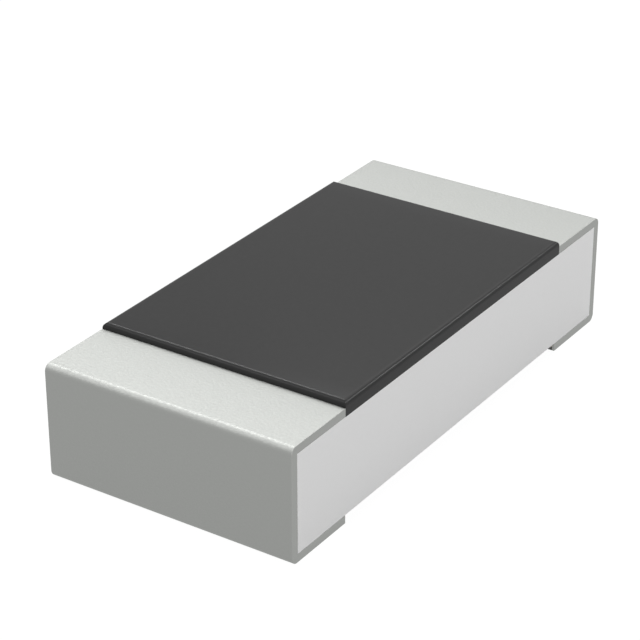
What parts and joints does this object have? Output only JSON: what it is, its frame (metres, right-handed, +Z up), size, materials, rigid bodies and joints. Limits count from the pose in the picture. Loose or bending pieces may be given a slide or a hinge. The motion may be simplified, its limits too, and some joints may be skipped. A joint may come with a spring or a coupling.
{
  "type": "chip resistor",
  "caption": "Surface-mount chip resistor: pale ceramic block, black-coated resistive film on top, and tinned metal terminations folded round its ends for soldering to a board.",
  "frame": {"origin": "under the middle of the chip, at the level of the bottom terminations that are soldered", "axes": "+X along the chip's length, +Z up through the black coat"},
  "size_m": [0.0032, 0.0016, 0.0007],
  "materials": {
    "alumina": "matte",
    "black_coat": "satin",
    "tin": "satin",
    "nickel": "satin",
    "end_metal": "satin",
    "printed_silver": "matte",
    "resistive_paste": "matte",
    "glass_paste": "gloss"
  },
  "bodies": {
    "root": {"ceramic_substrate": "alumina", "resistive_film": "resistive_paste", "glass_undercoat": "glass_paste", "protective_overcoat": "black_coat", "top_electrode_left": "printed_silver", "top_electrode_right": "printed_silver", "bottom_electrode_left": "printed_silver", "bottom_electrode_right": "printed_silver", "end_electrode_left": "end_metal", "end_electrode_right": "end_metal", "nickel_barrier_left": "nickel", "nickel_barrier_right": "nickel", "tin_plating_left": "tin", "tin_plating_right": "tin"}
  },
  "joints": []
}
